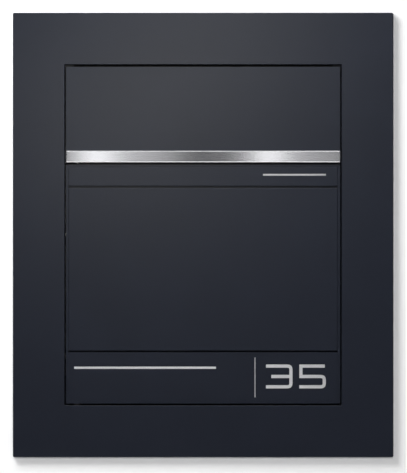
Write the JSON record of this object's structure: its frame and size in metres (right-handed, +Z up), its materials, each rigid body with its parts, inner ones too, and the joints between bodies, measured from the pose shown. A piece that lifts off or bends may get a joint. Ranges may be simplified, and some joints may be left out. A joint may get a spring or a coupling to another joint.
{
  "type": "flush wall mailbox",
  "caption": "Flush wall mailbox: steel housing in a wide cover frame, letter flap with a grip bar above a locking removal door.",
  "frame": {"origin": "centre of the front opening, in the plane of the wall's surface (the cover frame's back rim)", "axes": "+X to the right as seen from the street, +Y into the wall, +Z up"},
  "size_m": [0.5, 0.124, 0.584],
  "materials": {
    "powder_coat": "anthracite fine-texture powder coat",
    "stainless": "bright brushed stainless",
    "galvanised": "galvanised sheet",
    "zinc": "bright zinc plated",
    "brass": "turned",
    "nylon": "black, moulded",
    "rubber": "matt"
  },
  "bodies": {
    "housing": {"cover_frame": "powder_coat", "housing_wrap": "galvanised", "housing_side_left": "galvanised", "housing_side_right": "galvanised", "frame_screw_left_1": "zinc", "frame_screw_left_2": "zinc", "frame_screw_left_3": "zinc", "frame_screw_right_1": "zinc", "frame_screw_right_2": "zinc", "frame_screw_right_3": "zinc", "slot_panel": "powder_coat", "flap_top_seal": "rubber", "letter_baffle": "powder_coat", "letter_retainer": "powder_coat", "flap_hinge_rod": "zinc", "flap_hinge_bracket_left": "zinc", "flap_hinge_bracket_right": "zinc", "rod_clip_left": "zinc", "rod_clip_right": "zinc", "flap_buffer_left": "rubber", "flap_buffer_right": "rubber", "bracket_screw_left_1": "zinc", "bracket_screw_left_2": "zinc", "bracket_screw_right_1": "zinc", "bracket_screw_right_2": "zinc", "door_stop_strip": "powder_coat", "door_seal": "rubber", "door_pivot_bracket": "powder_coat", "door_pivot_pin_upper": "zinc", "door_pivot_pin_lower": "zinc", "door_pivot_washer": "nylon", "lock_barrel": "zinc", "lock_nut": "zinc"},
    "flap": {"flap_pan": "powder_coat", "grip_bar": "stainless", "grip_bar_screw_1": "zinc", "grip_bar_screw_2": "zinc", "grip_bar_screw_3": "zinc", "flap_bush_left": "nylon", "flap_bush_right": "nylon"},
    "door": {"door_tray": "powder_coat", "name_plate": "powder_coat", "door_face_plate": "powder_coat", "address_plate": "powder_coat", "name_plate_nut_1": "zinc", "name_plate_nut_2": "zinc", "address_plate_nut_1": "zinc", "address_plate_nut_2": "zinc", "door_stiffener": "galvanised", "door_strike": "zinc", "door_bush_upper": "nylon", "door_bush_lower": "nylon", "name_rule": "stainless", "address_rule": "stainless", "divider_rule": "stainless", "house_number_tens": "stainless", "house_number_units": "stainless"},
    "lock": {"lock_plug": "brass", "lock_cam": "zinc", "cam_screw": "zinc"}
  },
  "joints": [
    {"name": "flap_hinge", "type": "hinge", "parent": "housing", "child": "flap", "pos_m": [0, -0.009, 0.211], "axis": [-1, 0, 0], "range_deg": [0, 80]},
    {"name": "door_hinge", "type": "hinge", "parent": "housing", "child": "door", "pos_m": [-0.165, -0.009, 0], "axis": [0, 0, -1], "range_deg": [0, 110]},
    {"name": "lock_turn", "type": "hinge", "parent": "housing", "child": "lock", "pos_m": [0.15, 0.02, 0.118], "axis": [0, -1, 0], "range_deg": [0, 90]}
  ]
}
